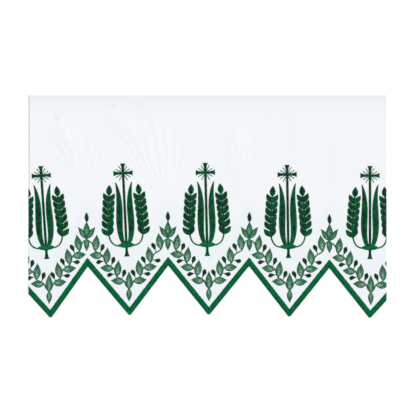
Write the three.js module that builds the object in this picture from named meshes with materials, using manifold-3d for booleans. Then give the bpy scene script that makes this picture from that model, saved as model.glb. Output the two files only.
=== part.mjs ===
// Altar cloth: a white cloth with a deep zigzag lower edge, lying flat and face up.
// A green satin-stitched edging covers the zigzag, and green embroidery stands on the face:
// a cross and a sheaf of wheat over each point, and a leafy garland that follows the zigzag.
// Millimetres, +Z up. The origin is on the surface that the cloth lies on, under its middle.
// +X runs along the cloth and +Y towards its plain upper edge.
import * as THREE from "three";
import { mergeVertices } from "three/addons/utils/BufferGeometryUtils.js";
import Module from "manifold-3d";

const wasm = await Module();
wasm.setup();

// Driving dimensions of the cloth
const clothWidth = 606;
const topEdgeY = 188.7;
const clothThickness = 1.2;
const topHemWidth = 15;
const topHemRise = 0.6;
const hemStepWidth = 1; // over which the hem's second layer rises
const clearance = 0.3; // between pieces that touch on the real cloth
const weldDistance = 1e-3; // vertices closer than this are one

// The zigzag edge: each point's tip, the notch after it, and how far the point's emblem leans.
// The first and last notches lie past the cut sides of the cloth.
const notchBefore = { x: -347.7, y: -98 };
const points = [
  { tipX: -265.2, tipY: -188.3, notchX: -202.6, notchY: -100.3, leanDegrees: 3.8 },
  { tipX: -131.5, tipY: -184.2, notchX: -66.3, notchY: -98.6, leanDegrees: 2.7 },
  { tipX: 2.3, tipY: -183.4, notchX: 70.5, notchY: -99.5, leanDegrees: 1.4 },
  { tipX: 138.6, tipY: -186.8, notchX: 206.3, notchY: -102.8, leanDegrees: 0.9 },
  { tipX: 274.9, tipY: -188.7, notchX: 355.8, notchY: -100, leanDegrees: 0 },
];

// The satin-stitched edging that covers the zigzag edge
const edgingWidth = 8.2;
const edgingRise = 1.0;
const edgingLip = 0.6; // thread wrapped over the cut edge
const edgingFloorGap = 0.3;

// Embroidery relief over the cloth's face
const stitchBottom = clothThickness + clearance;
const stitchRise = 0.9;

// Cross on a tall staff over each point: u across the point, v up from its tip
const cross = {
  footV: 100,
  topV: 257,
  armV: 241,
  armReach: 16,
  barWidth: 4.5,
  flareWidth: 10,
  flareLength: 9,
  footWidth: 10.5,
  rayReach: 14,
  rayWidth: 1.6,
  rayAngles: [30, 60, 120, 150, 210, 240, 300, 330],
};

// Sheaf tied to the staff: an ear of wheat and a blade on each side, the left mirroring the right
const sheaf = {
  earStalk: [
    { u: 0, v: 119 },
    { u: 37, v: 112 },
    { u: 31, v: 142 },
    { u: 25.5, v: 207 },
  ],
  stalkWidth: 2.6,
  stalkSteps: 7,
  firstKernel: 0.35, // share of the stalk's length, and the last kernel's share
  lastKernel: 0.97,
  kernelPairs: 6,
  kernelLength: 18.6,
  kernelWidth: 10.6,
  kernelSpread: 31, // degrees from the stalk
  earSides: 2, // straight lengths on each side of a kernel
  blade: [
    { u: 0, v: 114 },
    { u: 20, v: 142 },
    { u: 1, v: 186 },
    { u: 14, v: 226 },
  ],
  bladeWidth: 12,
  bladeRoot: 0.06, // where the blade's ends lie on its swelling and closing width
  bladeTip: 0.99,
  bladeFullness: 0.7,
  bladeSteps: 7,
  tieV: 119,
  tieWidth: 27,
  tieHeight: 9,
  tieSides: 8,
};

// Garland parallel to the zigzag, with leaves and buds on both sides
const garland = {
  offset: 28, // from the zigzag's outer line to the stem
  stemWidth: 2.6,
  stemStep: 7.1,
  wave: 2,
  leafStep: 14.2,
  firstLeaf: 15, // along the stem from its corner
  endGap: 9, // stem end to the meeting point over a notch
  outerClear: 37, // no outer leaf is nearer to that point, nor an inner one or a bud nearer than the next two
  innerClear: 21,
  budClear: 24,
  outerLeaf: 22,
  innerLeaf: 27,
  leafWidth: 12.8,
  leafAngle: 46,
  outerBud: 15,
  innerBud: 18,
  budWidth: 7.8,
  budAngle: 60,
  budAhead: 5.2, // along the stem from the leaf on its other side
  budFullness: 2, // a bud is widest near its tip
  leafSides: 3, // straight lengths on each side of a leaf or bud
};

// Leaves that meet over each notch and over each tip: up, to both sides and down
const knot = {
  length: 30,
  width: 12,
  sideShare: 0.8,
  downShare: 0.72,
  spread: 36,
  overlap: 1, // of each leaf's root over the stem, and of the bud's over its leaf
  budLength: 17.5, // of the bud at the tip of the upper leaf over a notch
  budWidth: 7.6,
  longSides: 4, // straight lengths on each side of the longest leaf
};

// Soft lifts of the plain upper cloth: from and to along the crest, with a sideways bow
const folds = [
  { fromX: -262, fromY: 158, toX: -208, toY: 14, bow: -9, halfWidth: 25, rise: 0.8 },
  { fromX: -176, fromY: 172, toX: -80, toY: 62, bow: -4, halfWidth: 28, rise: 1.1 },
  { fromX: -74, fromY: 122, toX: -70, toY: 3, bow: 0, halfWidth: 26, rise: 0.7 },
  { fromX: 46, fromY: 168, toX: 70, toY: 10, bow: 8, halfWidth: 26, rise: 0.9 },
  { fromX: 172, fromY: 172, toX: 130, toY: 86, bow: -6, halfWidth: 29, rise: 1.0 },
  { fromX: 244, fromY: 152, toX: 207, toY: 2, bow: 4, halfWidth: 26, rise: 0.8 },
];
const foldGrid = 14;
const sheetMargin = 1; // of the uncut sheet past the lowest point

const halfWidth = clothWidth / 2;
const cutReach = 400; // how far cutting shapes run past the cloth

// The zigzag's outer line from notch to notch, past both sides of the cloth
function zigzagLine() {
  const corners = points.flatMap(({ tipX, tipY, notchX, notchY }) => [[tipX, tipY], [notchX, notchY]]);
  return [[notchBefore.x, notchBefore.y], ...corners];
}

// The line moved into the cloth by a distance, with mitred corners
function insetLine(line, distance) {
  const sides = line.slice(1).map(([x, y], i) => {
    const [x0, y0] = line[i];
    const length = Math.hypot(x - x0, y - y0);
    const along = [(x - x0) / length, (y - y0) / length];
    const shift = [-along[1] * distance, along[0] * distance];
    return {
      start: [x0 + shift[0], y0 + shift[1]],
      end: [x + shift[0], y + shift[1]],
      slope: along[1] / along[0],
    };
  });
  const corners = sides.slice(1).map((after, i) => {
    const before = sides[i];
    const rise = after.start[1] - before.start[1] + before.slope * before.start[0];
    const x = (rise - after.slope * after.start[0]) / (before.slope - after.slope);
    return [x, before.start[1] + before.slope * (x - before.start[0])];
  });
  return [sides[0].start, ...corners, sides.at(-1).end];
}

// A closed three.js geometry as a solid that can be joined and cut
function solidFrom(geometry) {
  const loose = geometry.index ? geometry.toNonIndexed() : geometry;
  const bare = new THREE.BufferGeometry().setAttribute("position", loose.getAttribute("position"));
  const merged = mergeVertices(bare, weldDistance);
  const mesh = new wasm.Mesh({
    numProp: 3,
    vertProperties: new Float32Array(merged.attributes.position.array),
    triVerts: new Uint32Array(merged.index.array),
  });
  return new wasm.Manifold(mesh);
}

// A solid's surface as a flat-shaded three.js geometry
function geometryFrom(solid) {
  const { numProp, vertProperties, triVerts } = solid.getMesh();
  const positions = new Float32Array((vertProperties.length / numProp) * 3);
  for (let i = 0; i < positions.length / 3; i++) {
    positions.set(vertProperties.subarray(i * numProp, i * numProp + 3), i * 3);
  }
  const indexed = new THREE.BufferGeometry()
    .setAttribute("position", new THREE.BufferAttribute(positions, 3))
    .setIndex(new THREE.BufferAttribute(new Uint32Array(triVerts), 1));
  const geometry = indexed.toNonIndexed();
  geometry.computeVertexNormals();
  return geometry;
}

// A flat piece over a plan outline, between two heights
function plate(outline, bottom, top) {
  const shape = new THREE.Shape(outline.map(([x, y]) => new THREE.Vector2(x, y)));
  const geometry = new THREE.ExtrudeGeometry(shape, { depth: top - bottom, bevelEnabled: false });
  geometry.translate(0, 0, bottom);
  return solidFrom(geometry);
}

const stitched = (outline) => plate(outline, stitchBottom, stitchBottom + stitchRise);

const joined = (solids) => solids.reduce((all, solid) => all.add(solid));

// What is left of a motif on the cloth, without scraps that the cut sides part from it
function largestBody(solid) {
  return solid.decompose().sort((a, b) => b.volume() - a.volume())[0];
}

const smooth = (t) => {
  const s = Math.min(1, Math.max(0, t));
  return s * s * (3 - 2 * s);
};

// How far the folds lift the cloth off the surface at a place
function liftAt(x, y) {
  let lift = 0;
  for (const fold of folds) {
    const [dx, dy] = [fold.toX - fold.fromX, fold.toY - fold.fromY];
    const length = Math.hypot(dx, dy);
    const along = ((x - fold.fromX) * dx + (y - fold.fromY) * dy) / length ** 2;
    const side = ((x - fold.fromX) * dy - (y - fold.fromY) * dx) / length;
    const away = Math.abs(side - fold.bow * 4 * along * (1 - along)) / fold.halfWidth;
    if (along <= 0 || along >= 1 || away >= 1) continue;
    const fade = smooth(along * 3) * smooth((1 - along) * 3);
    lift += fold.rise * fade * 0.5 * (1 + Math.cos(Math.PI * away));
  }
  return lift;
}

// The sheet before it is cut to its outline: a grid of points on the folds, closed below and round
function clothSheet(lowestY) {
  const hemY = topEdgeY - topHemWidth;
  const rows = [lowestY - sheetMargin, 0];
  for (let y = foldGrid; y < hemY - foldGrid / 2; y += foldGrid) rows.push(y);
  rows.push(hemY - hemStepWidth / 2, hemY + hemStepWidth / 2, topEdgeY);
  const columns = Math.round(clothWidth / foldGrid);
  const vertices = [];
  const triangles = [];
  const index = (layer, row, column) => (layer * rows.length + row) * (columns + 1) + column;
  for (const layer of [0, 1]) {
    for (const y of rows) {
      const hem = y > hemY ? topHemRise : 0;
      for (let c = 0; c <= columns; c++) {
        const x = -halfWidth + (clothWidth * c) / columns;
        vertices.push(x, y, liftAt(x, y) + layer * (clothThickness + hem));
      }
    }
  }
  const quad = (a, b, c, d) => triangles.push(a, b, c, a, c, d);
  const lastRow = rows.length - 1;
  for (let r = 0; r < lastRow; r++) {
    for (let c = 0; c < columns; c++) {
      quad(index(1, r, c), index(1, r, c + 1), index(1, r + 1, c + 1), index(1, r + 1, c));
      quad(index(0, r, c), index(0, r + 1, c), index(0, r + 1, c + 1), index(0, r, c + 1));
    }
    quad(index(0, r, 0), index(1, r, 0), index(1, r + 1, 0), index(0, r + 1, 0));
    quad(index(0, r, columns), index(0, r + 1, columns), index(1, r + 1, columns), index(1, r, columns));
  }
  for (let c = 0; c < columns; c++) {
    quad(index(0, 0, c), index(0, 0, c + 1), index(1, 0, c + 1), index(1, 0, c));
    quad(index(0, lastRow, c), index(1, lastRow, c), index(1, lastRow, c + 1), index(0, lastRow, c + 1));
  }
  const geometry = new THREE.BufferGeometry()
    .setAttribute("position", new THREE.BufferAttribute(new Float32Array(vertices), 3))
    .setIndex(triangles);
  return solidFrom(geometry);
}

// The cloth: the sheet cut along the zigzag, just inside the thread that wraps its edge
function clothSolid(zigzag) {
  const lowestY = Math.min(...zigzag.map(([, y]) => y));
  const edge = insetLine(zigzag, edgingLip + clearance);
  const outline = [...edge, [edge.at(-1)[0], topEdgeY], [edge[0][0], topEdgeY]];
  return clothSheet(lowestY).intersect(plate(outline, -cutReach, cutReach));
}

// The edging: a raised band on the face, and a lip down over the cut edge
function edgingSolid(zigzag) {
  const top = stitchBottom + edgingRise;
  const band = [...zigzag, ...insetLine(zigzag, edgingWidth).reverse()];
  const lip = [...zigzag, ...insetLine(zigzag, edgingLip).reverse()];
  return plate(band, stitchBottom, top).add(plate(lip, edgingFloorGap, top));
}

// A straight bar from one place to another
function bar(u0, v0, u1, v1, width) {
  const length = Math.hypot(u1 - u0, v1 - v0);
  const [nu, nv] = [((v0 - v1) / length) * (width / 2), ((u1 - u0) / length) * (width / 2)];
  return [
    [u0 - nu, v0 - nv],
    [u1 - nu, v1 - nv],
    [u1 + nu, v1 + nv],
    [u0 + nu, v0 + nv],
  ];
}

// A strip along a line of places, with its width given by the share of the way along
function strip(line, widthAt) {
  const left = [];
  const right = [];
  line.forEach(([u, v], i) => {
    const [ua, va] = line[Math.max(0, i - 1)];
    const [ub, vb] = line[Math.min(line.length - 1, i + 1)];
    const reach = widthAt(i / (line.length - 1)) / 2 / Math.hypot(ub - ua, vb - va);
    right.push([u - (va - vb) * reach, v - (ub - ua) * reach]);
    left.push([u + (va - vb) * reach, v + (ub - ua) * reach]);
  });
  return [...right, ...left.reverse()];
}

// A pointed leaf that grows from a place at an angle, with a number of straight lengths on each
// side: a fullness of 1 puts its widest part in the middle, and a higher one nearer to its tip
function leaf(u, v, degrees, length, width, sides, fullness = 0.85) {
  const angle = THREE.MathUtils.degToRad(degrees);
  const [cu, cv] = [Math.cos(angle), Math.sin(angle)];
  const outline = [[u, v]];
  for (const side of [-1, 1]) {
    const half = [];
    for (let i = 1; i < sides; i++) {
      const t = i / sides;
      const out = (side * Math.sin(Math.PI * t ** fullness) * width) / 2;
      half.push([u + cu * length * t - cv * out, v + cv * length * t + cu * out]);
    }
    if (side === -1) outline.push(...half, [u + cu * length, v + cv * length]);
    else outline.push(...half.reverse());
  }
  return outline;
}

// An oval with flat sides
function oval(u, v, radiusU, radiusV, sides) {
  return Array.from({ length: sides }, (_, i) => {
    const turn = (2 * Math.PI * (i + 0.5)) / sides;
    return [u + radiusU * Math.cos(turn), v + radiusV * Math.sin(turn)];
  });
}

// One arm of the cross: a bar that flares to its end, between two places
function flaredBar(u0, v0, u1, v1, endWidth) {
  const length = Math.hypot(u1 - u0, v1 - v0);
  const [du, dv] = [(u1 - u0) / length, (v1 - v0) / length];
  const stations = [
    { at: 0, width: cross.barWidth },
    { at: length - cross.flareLength, width: cross.barWidth },
    { at: length - cross.flareLength / 3, width: (cross.barWidth * 2 + endWidth) / 3 },
    { at: length, width: endWidth },
  ];
  const edge = (side) =>
    stations.map(({ at, width }) => [
      u0 + du * at - (side * dv * width) / 2,
      v0 + dv * at + (side * du * width) / 2,
    ]);
  return [...edge(-1), ...edge(1).reverse()];
}

function crossOutlines() {
  const { footV, topV, armV, armReach, flareWidth, footWidth, rayReach, rayWidth, rayAngles } = cross;
  const rays = rayAngles.map((degrees) => {
    const angle = THREE.MathUtils.degToRad(degrees);
    return bar(0, armV, rayReach * Math.cos(angle), armV + rayReach * Math.sin(angle), rayWidth);
  });
  return [
    flaredBar(0, armV, 0, topV, flareWidth),
    flaredBar(0, armV, 0, footV, footWidth),
    flaredBar(0, armV, armReach, armV, flareWidth),
    flaredBar(0, armV, -armReach, armV, flareWidth),
    ...rays,
  ];
}

// A curve's shape points, on the right of the staff or mirrored to its left
const sideCurve = (table, side) =>
  new THREE.CubicBezierCurve(...table.map(({ u, v }) => new THREE.Vector2(side * u, v)));

function earOutlines(side) {
  const curve = sideCurve(sheaf.earStalk, side);
  const stalk = curve.getPoints(sheaf.stalkSteps).map(({ x, y }) => [x, y]);
  const outlines = [strip(stalk, () => sheaf.stalkWidth)];
  for (let i = 0; i <= sheaf.kernelPairs; i++) {
    const t = THREE.MathUtils.lerp(sheaf.firstKernel, sheaf.lastKernel, i / sheaf.kernelPairs);
    const place = curve.getPointAt(t);
    const tangent = curve.getTangentAt(t);
    const heading = THREE.MathUtils.radToDeg(Math.atan2(tangent.y, tangent.x));
    const spreads = i < sheaf.kernelPairs ? [-sheaf.kernelSpread, sheaf.kernelSpread] : [0];
    for (const spread of spreads) {
      const { kernelLength, kernelWidth, earSides } = sheaf;
      outlines.push(leaf(place.x, place.y, heading + spread, kernelLength, kernelWidth, earSides));
    }
  }
  return outlines;
}

function bladeOutline(side) {
  const line = sideCurve(sheaf.blade, side).getPoints(sheaf.bladeSteps).map(({ x, y }) => [x, y]);
  return strip(line, (share) => {
    const swell = Math.sin(Math.PI * THREE.MathUtils.lerp(sheaf.bladeRoot, sheaf.bladeTip, share));
    return sheaf.bladeWidth * swell ** sheaf.bladeFullness;
  });
}

function emblemSolid() {
  const tie = oval(0, sheaf.tieV, sheaf.tieWidth / 2, sheaf.tieHeight / 2, sheaf.tieSides);
  const outlines = [...crossOutlines(), tie];
  for (const side of [-1, 1]) outlines.push(...earOutlines(side), bladeOutline(side));
  return joined(outlines.map(stitched));
}

// One side of a garland, from its corner over the tip towards a notch, in the cloth's frame
function garlandSide(corner, end, turn) {
  const length = Math.hypot(end[0] - corner[0], end[1] - corner[1]);
  const along = [(end[0] - corner[0]) / length, (end[1] - corner[1]) / length];
  const inward = [-turn * along[1], turn * along[0]];
  const heading = THREE.MathUtils.radToDeg(Math.atan2(along[1], along[0]));
  const stemEnd = length - garland.endGap;
  const place = (s) => {
    const phase = (Math.PI * (s - garland.firstLeaf)) / garland.leafStep;
    const sway = garland.wave * Math.cos(phase) * smooth(s / garland.firstLeaf);
    return [corner[0] + along[0] * s + inward[0] * sway, corner[1] + along[1] * s + inward[1] * sway];
  };
  const steps = Math.round(stemEnd / garland.stemStep);
  const stem = Array.from({ length: steps + 1 }, (_, i) => place((stemEnd * i) / steps));
  const outlines = [strip(stem, () => garland.stemWidth)];
  for (let i = 0; garland.firstLeaf + i * garland.leafStep < length - garland.innerClear; i++) {
    const s = garland.firstLeaf + i * garland.leafStep;
    const [x, y] = place(s);
    const inner = i % 2 === 0 ? -1 : 1;
    const size = inner === 1 ? garland.innerLeaf : garland.outerLeaf;
    const leafHeading = heading + inner * turn * garland.leafAngle;
    const budHeading = heading - inner * turn * garland.budAngle;
    if (inner === 1 || s < length - garland.outerClear) {
      outlines.push(leaf(x, y, leafHeading, size, garland.leafWidth, garland.leafSides));
    }
    const { budWidth, leafSides, budFullness } = garland;
    const budLength = inner === 1 ? garland.outerBud : garland.innerBud;
    const budAt = s + garland.budAhead;
    if (budAt < length - garland.budClear) {
      outlines.push(leaf(...place(budAt), budHeading, budLength, budWidth, leafSides, budFullness));
    }
  }
  return outlines;
}

// The leaves that meet over a notch, or over a tip, where there is no room for side leaves
function knotOutlines([x, y], overNotch) {
  const { length, width, sideShare, downShare, spread, overlap, budLength, budWidth, longSides } = knot;
  const outlines = [
    leaf(x, y - overlap, 90, length, width, longSides),
    leaf(x, y + overlap, 270, length * downShare, width * sideShare, garland.leafSides),
  ];
  const spreads = overNotch ? [-spread, spread] : [];
  for (const turn of spreads) {
    outlines.push(leaf(x, y, 90 + turn, length * sideShare, width * sideShare, garland.leafSides));
  }
  const leafTip = y - overlap + length;
  if (overNotch) outlines.push(leaf(x, leafTip - overlap, 90, budLength, budWidth, garland.leafSides));
  return outlines;
}

function garlandSolid(stemLine, number) {
  const [before, corner, after] = stemLine.slice(2 * number, 2 * number + 3);
  const outlines = [...garlandSide(corner, before, -1), ...garlandSide(corner, after, 1)];
  outlines.push(...knotOutlines(corner, false));
  if (number < points.length - 1) {
    outlines.push(...knotOutlines(after, true));
    const length = Math.hypot(after[0] - corner[0], after[1] - corner[1]);
    const share = (garland.endGap + knot.overlap) / length;
    const back = [0, 1].map((k) => after[k] + (corner[k] - after[k]) * share);
    outlines.push(bar(back[0], back[1], after[0], after[1] + knot.overlap, garland.stemWidth));
  }
  return joined(outlines.map(stitched));
}

// A sub-part with a finish of its own: white cloth, or green thread with a soft sheen
function named(name, solid, color, roughness) {
  const material = new THREE.MeshStandardMaterial({ color, roughness, metalness: 0 });
  const mesh = new THREE.Mesh(geometryFrom(solid), material);
  mesh.name = name;
  return mesh;
}

const altarCloth = new THREE.Group();
const zigzag = zigzagLine();
const betweenSides = plate(
  [[-halfWidth, -cutReach], [halfWidth, -cutReach], [halfWidth, cutReach], [-halfWidth, cutReach]],
  -cutReach,
  cutReach,
);
altarCloth.add(named("cloth", clothSolid(zigzag), 0xf3f5fa, 0.9));
altarCloth.add(named("zigzag_edging", edgingSolid(zigzag).intersect(betweenSides), 0x006b38, 0.5));

const stemLine = insetLine(zigzag, garland.offset);
points.forEach((point, i) => {
  const leaning = new THREE.Group();
  leaning.position.set(point.tipX, point.tipY, 0);
  leaning.rotation.z = THREE.MathUtils.degToRad(point.leanDegrees);
  leaning.updateMatrix();
  const window = betweenSides.transform(leaning.matrix.clone().invert().toArray());
  const emblem = largestBody(emblemSolid().intersect(window));
  leaning.add(named(`emblem_${i + 1}`, emblem, 0x14603a, 0.5));
  altarCloth.add(leaning);

  const vine = largestBody(garlandSolid(stemLine, i).intersect(betweenSides));
  altarCloth.add(named(`garland_${i + 1}`, vine, 0x4f9169, 0.6));
});

export default altarCloth;
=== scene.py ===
# Altar cloth laid flat and face up: fine white cloth with a stitched zigzag edge, and over it
# crosses with sheaves of wheat and leafy garlands, all built stitch by stitch.
# Plan sizes are in millimetres, x or u along the cloth and y or v up it, and become metres
# where a mesh is made.
import math

import bpy
import numpy as np
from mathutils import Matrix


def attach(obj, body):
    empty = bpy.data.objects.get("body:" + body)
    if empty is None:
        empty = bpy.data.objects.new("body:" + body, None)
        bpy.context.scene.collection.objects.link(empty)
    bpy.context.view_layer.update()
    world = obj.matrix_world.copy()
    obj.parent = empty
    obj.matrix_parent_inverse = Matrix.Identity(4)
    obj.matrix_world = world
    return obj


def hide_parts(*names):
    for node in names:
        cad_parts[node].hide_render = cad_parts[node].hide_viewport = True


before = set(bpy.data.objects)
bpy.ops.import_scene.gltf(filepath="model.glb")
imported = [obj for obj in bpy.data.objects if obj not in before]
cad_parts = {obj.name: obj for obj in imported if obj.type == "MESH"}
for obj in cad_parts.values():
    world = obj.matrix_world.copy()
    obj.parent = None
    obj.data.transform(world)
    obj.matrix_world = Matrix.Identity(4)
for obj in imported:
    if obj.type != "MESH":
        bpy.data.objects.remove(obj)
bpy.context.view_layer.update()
scene = bpy.context.scene
mm = 0.001

# The zigzag edge from the notch before the first tip to the notch after the last: both of these
# lie past the cut sides, and each tip's emblem leans by its own angle
zigzag = {
    "halfWidth": 303.0,
    "topY": 188.7,
    "notchBefore": (-347.7, -98.0),
    "tips": [(-265.2, -188.3), (-131.5, -184.2), (2.3, -183.4), (138.6, -186.8), (274.9, -188.7)],
    "notches": [(-202.6, -100.3), (-66.3, -98.6), (70.5, -99.5), (206.3, -102.8), (355.8, -100.0)],
    "leanDegrees": [3.8, 2.7, 1.4, 0.9, 0.0],
}


# Shader helpers
class Field:
    # A socket that arithmetic works on: each sign adds its Math node
    def __init__(self, paint, socket):
        self.paint = paint
        self.socket = socket

    def math(self, operation, first, second=0.0):
        made = self.paint.node("ShaderNodeMath", {"operation": operation}, {0: first, 1: second})
        return Field(self.paint, made.outputs[0])

    def __add__(self, other):
        return self.math("ADD", self, other)

    def __sub__(self, other):
        return self.math("SUBTRACT", self, other)

    def __mul__(self, other):
        return self.math("MULTIPLY", self, other)

    def __truediv__(self, other):
        return self.math("DIVIDE", self, other)

    def sine(self):
        return self.math("SINE", self)


class Paint:
    # A material whose nodes all come from one method
    def __init__(self, name):
        self.material = bpy.data.materials.new(name)
        self.material.use_nodes = True
        self.tree = self.material.node_tree
        self.tree.nodes.clear()

    def node(self, kind, settings=None, sockets=None):
        made = self.tree.nodes.new(kind)
        for key, value in (settings or {}).items():
            setattr(made, key, value)
        for key, value in (sockets or {}).items():
            if isinstance(value, Field):
                self.tree.links.new(value.socket, made.inputs[key])
            else:
                made.inputs[key].default_value = value
        return made

    def place(self):
        return Field(self, self.node("ShaderNodeTexCoord").outputs["Object"])

    def axes(self, vector):
        split = self.node("ShaderNodeSeparateXYZ", sockets={0: vector})
        return [Field(self, socket) for socket in split.outputs]

    def attribute(self, name, output="Fac"):
        return Field(self, self.node("ShaderNodeAttribute", {"attribute_name": name}).outputs[output])

    def noise(self, vector, scale, detail=3.0, roughness=0.55):
        sockets = {"Vector": vector, "Scale": scale, "Detail": detail, "Roughness": roughness}
        return Field(self, self.node("ShaderNodeTexNoise", sockets=sockets).outputs["Fac"])

    def stretched(self, vector, factors):
        made = self.node("ShaderNodeMapping", sockets={"Vector": vector, "Scale": factors})
        return Field(self, made.outputs[0])

    def distance(self, vector, point):
        made = self.node("ShaderNodeVectorMath", {"operation": "DISTANCE"}, {0: vector, 1: point})
        return Field(self, made.outputs["Value"])

    def spread(self, field, low, high, kind="LINEAR"):
        sockets = {"Value": field, "From Min": low, "From Max": high}
        made = self.node("ShaderNodeMapRange", {"interpolation_type": kind}, sockets)
        return Field(self, made.outputs[0])

    def mixed(self, factor, first, second):
        made = self.node("ShaderNodeMix", {"data_type": "RGBA"}, {0: factor, 6: first, 7: second})
        return Field(self, made.outputs[2])

    def bump(self, height, distance, strength=1.0, normal=None):
        sockets = {"Height": height, "Distance": distance, "Strength": strength}
        if normal is not None:
            sockets["Normal"] = normal
        return Field(self, self.node("ShaderNodeBump", sockets=sockets).outputs[0])

    def finish(self, sockets):
        shader = self.node("ShaderNodeBsdfPrincipled", sockets=sockets)
        output = self.node("ShaderNodeOutputMaterial")
        self.tree.links.new(shader.outputs[0], output.inputs[0])
        return self.material


def opaque(red, green, blue):
    return (red, green, blue, 1.0)


# Camera straight over the cloth, as the photo sees it
cameraFacts = {
    "pixelSize": 1.693,  # mm of cloth in one pixel of the photo
    "pixels": 416,
    "middle": (0.85, -2.54),
    "lens": 100.0,
    "sensor": 36.0,
}


def makeCamera():
    camera = bpy.data.objects.new("camera", bpy.data.cameras.new("camera"))
    camera.data.lens = cameraFacts["lens"]
    camera.data.sensor_width = cameraFacts["sensor"]
    seen = cameraFacts["pixelSize"] * cameraFacts["pixels"]
    height = seen * cameraFacts["lens"] / cameraFacts["sensor"]
    camera.location = np.array([*cameraFacts["middle"], height]) * mm
    scene.collection.objects.link(camera)
    scene.camera = camera


# Even daylight all round, and a broad soft sun from the upper right
lightFacts = {
    "daylight": 0.7,
    "sunStrength": 1.6,
    "sunSpread": 18.0,
    "sunFrom": (0.42, 0.36, 0.83),
}


def makeLights():
    world = bpy.data.worlds.new("daylight")
    world.use_nodes = True
    background = world.node_tree.nodes["Background"]
    background.inputs["Color"].default_value = opaque(1.0, 1.0, 1.0)
    background.inputs["Strength"].default_value = lightFacts["daylight"]
    scene.world = world
    sun = bpy.data.objects.new("sun", bpy.data.lights.new("sun", "SUN"))
    sun.data.energy = lightFacts["sunStrength"]
    sun.data.angle = math.radians(lightFacts["sunSpread"])
    x, y, z = lightFacts["sunFrom"]
    sun.rotation_euler = (0.0, math.atan2(math.hypot(x, y), z), math.atan2(y, x))
    scene.collection.objects.link(sun)
    scene.view_settings.view_transform = "Standard"


# A pale floor just under the cloth, its reach and drop in metres
floorFacts = {
    "reach": 16.0,
    "drop": 0.0001,
    "pale": 0.95,
    "worn": 0.94,
    "grainScale": 3.0,
    "roughness": 0.9,
    "specular": 0.1,
}


def makeFloor():
    reach, drop = floorFacts["reach"], -floorFacts["drop"]
    square = [(-reach, -reach, drop), (reach, -reach, drop), (reach, reach, drop), (-reach, reach, drop)]
    mesh = bpy.data.meshes.new("floor")
    mesh.from_pydata(square, [], [(0, 1, 2, 3)])
    floor = bpy.data.objects.new("floor", mesh)
    scene.collection.objects.link(floor)
    paint = Paint("pale_floor")
    grain = paint.noise(paint.place(), floorFacts["grainScale"])
    worn, pale = [opaque(*[floorFacts[key]] * 3) for key in ("worn", "pale")]
    mesh.materials.append(paint.finish({
        "Base Color": paint.mixed(grain, worn, pale),
        "Roughness": floorFacts["roughness"],
        "Specular IOR Level": floorFacts["specular"],
    }))


# Shapes that the pieces share
def smoothStep(t):
    s = np.clip(t, 0.0, 1.0)
    return s * s * (3.0 - 2.0 * s)


def outerCorners():
    pairs = [corner for pair in zip(zigzag["tips"], zigzag["notches"]) for corner in pair]
    return np.array([zigzag["notchBefore"], *pairs])


def insetCorners(distance):
    # Each straight length moved into the cloth by the distance, and met with its neighbours
    outer = outerCorners()
    along = np.diff(outer, axis=0)
    along = along / np.linalg.norm(along, axis=1)[:, None]
    normal = np.stack([-along[:, 1], along[:, 0]], 1)
    start = outer[:-1] + normal * distance
    slope = along[:, 1] / along[:, 0]
    level = start[:, 1] - slope * start[:, 0]
    x = (level[1:] - level[:-1]) / (slope[:-1] - slope[1:])
    met = np.stack([x, slope[1:] * x + level[1:]], 1)
    return np.concatenate([start[:1], met, outer[-1:] + normal[-1:] * distance])


def edgeHeight(x, distance):
    # The zigzag's y at each x, moved into the cloth by a distance
    line = insetCorners(distance)
    return np.interp(x, line[:, 0], line[:, 1])


def unit(degrees):
    angle = np.radians(degrees)
    return np.stack([np.cos(angle), np.sin(angle)], -1)


def bezier(table, side=1, steps=60):
    # A cubic curve through its four control places, mirrored where side is -1
    t = np.linspace(0.0, 1.0, steps + 1)[:, None]
    a, b, c, d = np.array(table, float) * (side, 1)
    s = 1.0 - t
    return s**3 * a + 3.0 * s**2 * t * b + 3.0 * s * t**2 * c + t**3 * d


def spaced(line, pitch, reach=0.3):
    # Places at even steps along a line, with the way it heads, measured over a reach to both
    # sides of each place, and the share of the way there
    run = np.concatenate([[0.0], np.cumsum(np.linalg.norm(np.diff(line, axis=0), axis=1))])
    count = max(2, round(run[-1] / pitch))
    at = (np.arange(count) + 0.5) / count * run[-1]
    places, behind, ahead = [
        np.stack([np.interp(at + shift, run, line[:, k]) for k in (0, 1)], 1)
        for shift in (0.0, -reach, reach)
    ]
    heading = ahead - behind
    return places, heading / np.linalg.norm(heading, axis=1)[:, None], at / run[-1]


def addPiece(name, vertices, faces, material):
    mesh = bpy.data.meshes.new(name)
    mesh.from_pydata(vertices.astype(np.float32) * mm, [], faces)
    mesh.polygons.foreach_set("use_smooth", np.ones(len(mesh.polygons), bool))
    mesh.materials.append(material)
    piece = bpy.data.objects.new(name, mesh)
    scene.collection.objects.link(piece)
    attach(piece, "root")
    return piece


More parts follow.
